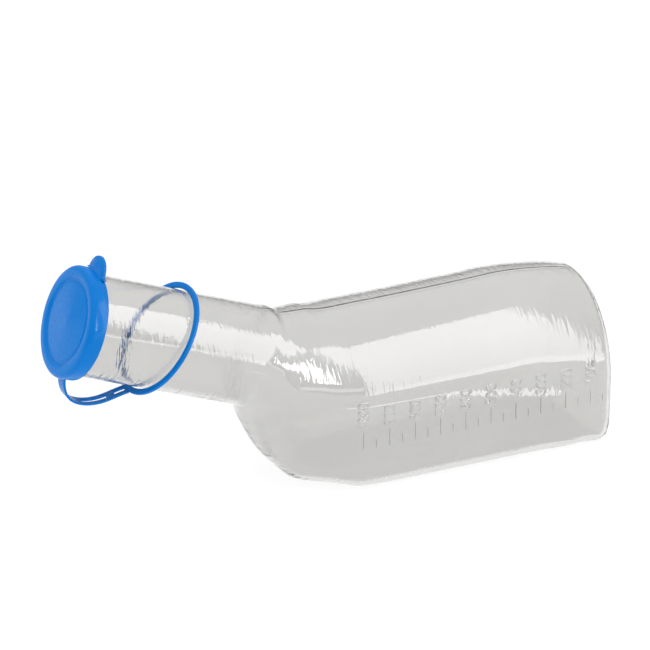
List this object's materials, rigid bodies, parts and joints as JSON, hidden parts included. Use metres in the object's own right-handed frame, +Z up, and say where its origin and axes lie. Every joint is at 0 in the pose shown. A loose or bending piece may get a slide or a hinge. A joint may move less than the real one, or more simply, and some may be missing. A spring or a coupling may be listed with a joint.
{
  "type": "urine bottle",
  "caption": "Clear rigid urine bottle lying on its flat side, with a raised graduated scale, a tilted wide neck and a blue push-on lid tied by a slotted strap to a ring on the neck.",
  "frame": {"origin": "on the resting plane, under the middle of the whole product", "axes": "+Z up from the flat side it lies on; X along the body, the flat end wall toward +X and the raised neck and lid toward -X; the graduated side faces -Y"},
  "size_m": [0.3139, 0.0885, 0.1481],
  "materials": {
    "clear_bottle": "clear polished polycarbonate",
    "blue_closure": "satin polyethylene",
    "blue_strap": "satin polyethylene",
    "blue_ring": "satin polyethylene"
  },
  "bodies": {
    "bottle": {"bottle": "clear_bottle"},
    "ring": {"neck_ring": "blue_ring", "strap": "blue_strap"},
    "lid": {"lid": "blue_closure"}
  },
  "joints": [
    {"name": "ring_turn", "type": "hinge", "parent": "bottle", "child": "ring", "pos_m": [-0.09427, 0, 0.0945], "axis": [-0.9336, 0, 0.3584], "continuous": true},
    {"name": "lid_swing", "type": "hinge", "parent": "ring", "child": "lid", "pos_m": [-0.14888, 0, 0.08226], "axis": [0, -1, 0], "range_deg": [0, 150], "deforming": ["strap"]}
  ]
}
